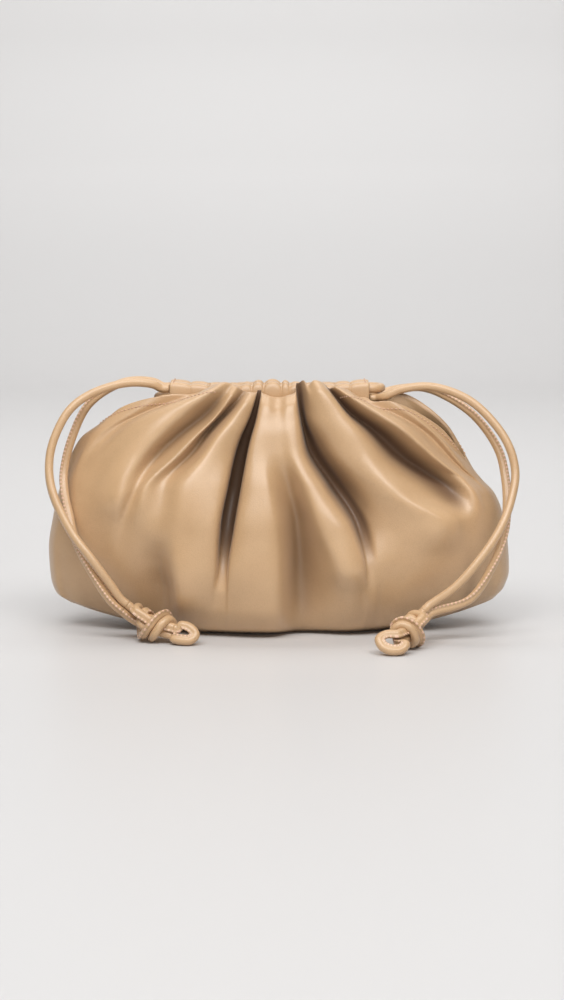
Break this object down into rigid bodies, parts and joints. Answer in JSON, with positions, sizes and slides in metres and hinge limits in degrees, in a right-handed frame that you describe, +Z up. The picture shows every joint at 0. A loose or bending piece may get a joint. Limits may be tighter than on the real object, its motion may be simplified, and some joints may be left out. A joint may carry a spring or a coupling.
{
  "type": "gathered drawstring pouch bag",
  "caption": "Soft leather pouch bag with a gathered mouth, closed by opposed leather drawstrings that are tied at its ends.",
  "frame": {"origin": "under the middle of the pouch, on the surface that its base rests on", "axes": "+Z up through the gathered mouth, +X along the pouch's length, -Y towards its front"},
  "size_m": [0.3019, 0.1715, 0.1616],
  "materials": {
    "pouch_leather": "smooth satin",
    "channel_leather": "smooth satin",
    "cord_leather": "smooth satin"
  },
  "bodies": {
    "root": {"pouch_body": "pouch_leather", "channel_front": "channel_leather", "channel_back": "channel_leather", "drawstring_left_run": "cord_leather", "drawstring_right_run": "cord_leather", "drawstring_left_front_strand": "cord_leather", "drawstring_left_back_strand": "cord_leather", "drawstring_right_front_strand": "cord_leather", "drawstring_right_back_strand": "cord_leather", "knot_left": "cord_leather", "end_loop_left": "cord_leather", "knot_right": "cord_leather", "end_loop_right": "cord_leather"}
  },
  "joints": []
}
